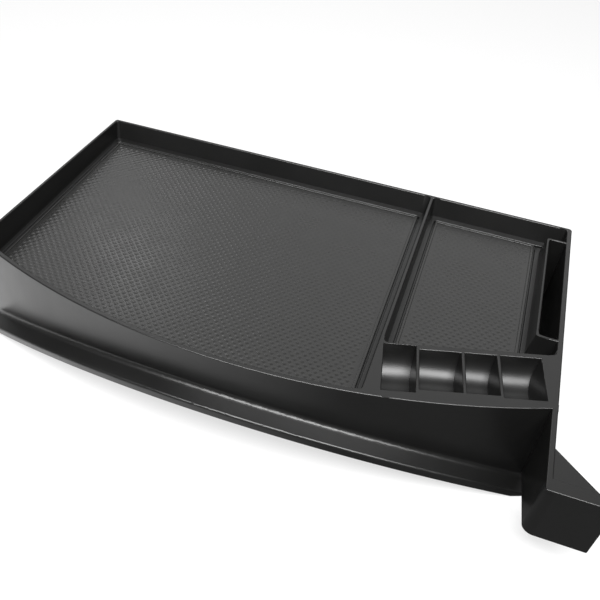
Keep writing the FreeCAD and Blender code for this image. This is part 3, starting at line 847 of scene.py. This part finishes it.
@dataclass
class EmbossedMat:
    """An inlay mat: its slab, and the staggered pillows of its field."""

    UPWARD = 0.99
    LEVELS = 1e4

    node: str
    seed: int
    pitch_across: float = 0.0073
    pitch_along: float = 0.0080
    row_tilt: float = math.radians(2.0)
    smooth_margin: float = 0.0036
    pillow_width: float = 0.0068
    pillow_depth: float = 0.0056
    pillow_height: float = 0.00036
    sink: float = 0.00004
    unevenness: float = 0.06
    smooth_angle: float = math.radians(28)
    pieces: list[bpy.types.Object] = field(default_factory=list)

    def build(self, material: bpy.types.Material) -> None:
        """Builds the mat.

        Args:
            material: what the mat is made of.
        """
        slab = merged_copy(self.node, f"{self.node}_inlay")
        slab.data.materials.clear()
        slab.data.materials.append(material)
        region = self._field(slab)
        tree = EmbossTree(f"{self.node}_emboss", material)
        tree.apply(
            region,
            Pitch_Across=self.pitch_across,
            Pitch_Along=self.pitch_along,
            Row_Tilt=self.row_tilt,
            Smooth_Margin=self.smooth_margin,
            Pillow_Width=self.pillow_width,
            Pillow_Depth=self.pillow_depth,
            Pillow_Height=self.pillow_height,
            Sink=self.sink,
            Unevenness=self.unevenness,
            Seed=self.seed,
        )
        soften(slab, self.smooth_angle)
        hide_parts(self.node)
        for piece in (slab, region):
            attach(piece, BODY)
            self.pieces.append(piece)

    def _field(self, slab: bpy.types.Object) -> bpy.types.Object:
        """Finds the mat's flat field, the widest face that looks up.

        Args:
            slab: the mat's slab.

        Returns:
            An object whose mesh is that face alone.
        """
        mesh = bmesh.new()
        mesh.from_mesh(slab.data)
        areas: dict[int, float] = {}
        for face in mesh.faces:
            if face.normal.z > self.UPWARD:
                level = self._level(face)
                areas[level] = areas.get(level, 0.0) + face.calc_area()
        widest = max(areas, key=lambda level: areas[level])
        others = [face for face in mesh.faces if face.normal.z < self.UPWARD or self._level(face) != widest]
        bmesh.ops.delete(mesh, geom=others, context="FACES")
        bmesh.ops.dissolve_faces(mesh, faces=mesh.faces, use_verts=False)
        data = bpy.data.meshes.new(f"{self.node}_weave")
        mesh.to_mesh(data)
        mesh.free()
        return link_object(f"{self.node}_weave", data)

    def _level(self, face: bmesh.types.BMFace) -> int:
        """Gives faces of one plane the same number.

        Args:
            face: a face of the slab.

        Returns:
            The number, which counts tenths of a millimetre.
        """
        return round(face.normal.dot(face.calc_center_median()) * self.LEVELS)


@dataclass(frozen=True)
class SoftLight:
    """A soft rectangular lamp that looks at a point."""

    name: str
    place: tuple[float, float, float]
    aim: tuple[float, float, float]
    width: float
    height: float
    power: float

    def build(self) -> None:
        """Builds the lamp."""
        data = bpy.data.lights.new(self.name, "AREA")
        data.shape = "RECTANGLE"
        data.size = self.width
        data.size_y = self.height
        data.energy = self.power
        lamp = link_object(self.name, data)
        sight = Vector(self.aim) - Vector(self.place)
        turn = sight.to_track_quat("-Z", "Y").to_matrix().to_4x4()
        lamp.matrix_world = Matrix.Translation(self.place) @ turn


@dataclass
class Studio:
    """A pale floor with painted shade on its right, the light of a white room and the lamps."""

    floor_half: float = 4.0
    floor_shadow: float = 0.30
    floor_rough: float = 0.9
    floor_white: float = 0.8
    # painted shade: the floor's colour, as the object sees it, at its right end
    floor_painted_shade: float = 0.06
    painted_shade_from: float = -0.22
    painted_shade_to: float = 0.10
    room_strength: float = 0.15
    lamps: tuple[SoftLight, ...] = (
        SoftLight("lamp_key", (0.2, -0.66, 1.45), (0.1, 0.0, 0.0), 1.7, 0.7, 62.0),
        SoftLight("lamp_wall", (-0.6, 2.0, 1.95), (0.0, 0.0, 0.0), 4.2, 2.2, 28.0),
        SoftLight("lamp_glint", (-1.06, 1.24, 1.48), (-0.16, -0.03, 0.07), 0.3, 0.3, 1.0),
    )

    def build(self) -> None:
        """Builds the floor, the room's light and the lamps."""
        self._floor()
        self._room()
        for lamp in self.lamps:
            lamp.build()

    def _floor(self) -> None:
        """Builds the floor.

        To the camera it is white with the object's shadow. To the object its right is painted shade.
        """
        half = self.floor_half
        mesh = bmesh.new()
        places = ((-half, -half), (half, -half), (half, half), (-half, half))
        mesh.faces.new([mesh.verts.new((x, y, 0.0)) for x, y in places])
        data = bpy.data.meshes.new("floor")
        mesh.to_mesh(data)
        mesh.free()
        material = bpy.data.materials.new("white_floor_with_painted_shade")
        material.use_nodes = True
        nodes = NodeMaker(material.node_tree)
        shader = material.node_tree.nodes["Principled BSDF"]
        shader.inputs["Roughness"].default_value = self.floor_rough
        paper = nodes.add("ShaderNodeEmission")
        paper.inputs["Strength"].default_value = 1.0
        mix = nodes.add("ShaderNodeMixShader")
        seen = nodes.add("ShaderNodeLightPath").outputs["Is Camera Ray"]
        split = nodes.add("ShaderNodeSeparateXYZ")
        nodes.feed(split.inputs["Vector"], nodes.add("ShaderNodeTexCoord").outputs["Object"])
        # Painted shade: to all but the camera the floor darkens from left to right, for the object's faces to
        # reflect.
        painted_shade_ramp = nodes.add("ShaderNodeMapRange")
        painted_shade_ramp.inputs["From Min"].default_value = self.painted_shade_from
        painted_shade_ramp.inputs["From Max"].default_value = self.painted_shade_to
        painted_shade_ramp.inputs["To Min"].default_value = self.floor_white
        painted_shade_ramp.inputs["To Max"].default_value = self.floor_painted_shade
        nodes.feed(painted_shade_ramp.inputs["Value"], split.outputs["X"])
        white = nodes.math("MULTIPLY", seen, self.floor_white)
        nodes.feed(shader.inputs["Base Color"], nodes.math("MAXIMUM", white, painted_shade_ramp.outputs["Result"]))
        nodes.feed(mix.inputs["Fac"], nodes.math("MULTIPLY", seen, 1.0 - self.floor_shadow))
        nodes.feed(mix.inputs[1], shader.outputs["BSDF"])
        nodes.feed(mix.inputs[2], paper.outputs["Emission"])
        out = material.node_tree.nodes["Material Output"]
        nodes.feed(out.inputs["Surface"], mix.outputs["Shader"])
        data.materials.append(material)
        link_object("floor", data)

    def _room(self) -> None:
        """Sets the room's light: white to the camera, softer to the object."""
        world = bpy.data.worlds.new("white_room")
        world.use_nodes = True
        bpy.context.scene.world = world
        nodes = NodeMaker(world.node_tree)
        glow = world.node_tree.nodes["Background"]
        glow.inputs["Color"].default_value = (1.0, 1.0, 1.0, 1.0)
        path = nodes.add("ShaderNodeLightPath")
        extra = nodes.math("MULTIPLY", path.outputs["Is Camera Ray"], 1.0 - self.room_strength)
        nodes.feed(glow.inputs["Strength"], nodes.math("ADD", extra, self.room_strength))


@dataclass(frozen=True)
class Viewpoint:
    """The camera, at the angle of the photograph."""

    place: tuple[float, float, float] = (0.1426, -0.4989, 0.528)
    right: tuple[float, float, float] = (0.9436, 0.3243, 0.0665)
    up: tuple[float, float, float] = (-0.2676, 0.6288, 0.7300)
    lens: float = 40.8
    sensor: float = 36.0
    nearest: float = 0.01

    def build(self) -> None:
        """Builds the camera and makes it the scene's."""
        data = bpy.data.cameras.new("viewpoint")
        data.lens = self.lens
        data.sensor_width = self.sensor
        data.clip_start = self.nearest
        camera = link_object("viewpoint", data)
        right, up = Vector(self.right).normalized(), Vector(self.up)
        up = (up - right * up.dot(right)).normalized()
        turn = Matrix((right, up, right.cross(up))).transposed().to_4x4()
        camera.matrix_world = Matrix.Translation(self.place) @ turn
        bpy.context.scene.camera = camera


def main() -> None:
    """Builds the pieces, the studio and the camera."""
    logging.basicConfig(level=logging.INFO, format="%(name)s: %(message)s")
    shell = TrayShell()
    shell.build()
    rubber = MAT_RUBBER.make()
    mats = [EmbossedMat("mat_large", seed=3), EmbossedMat("mat_small", seed=8)]
    for mat in mats:
        mat.build(rubber)
    for part in (shell, *mats):
        for piece in part.pieces:
            LOG.info("%s: %d faces", piece.name, len(piece.data.polygons))
    Studio().build()
    Viewpoint().build()
    bpy.context.scene.view_settings.view_transform = "Standard"


if __name__ == "__main__":
    main()
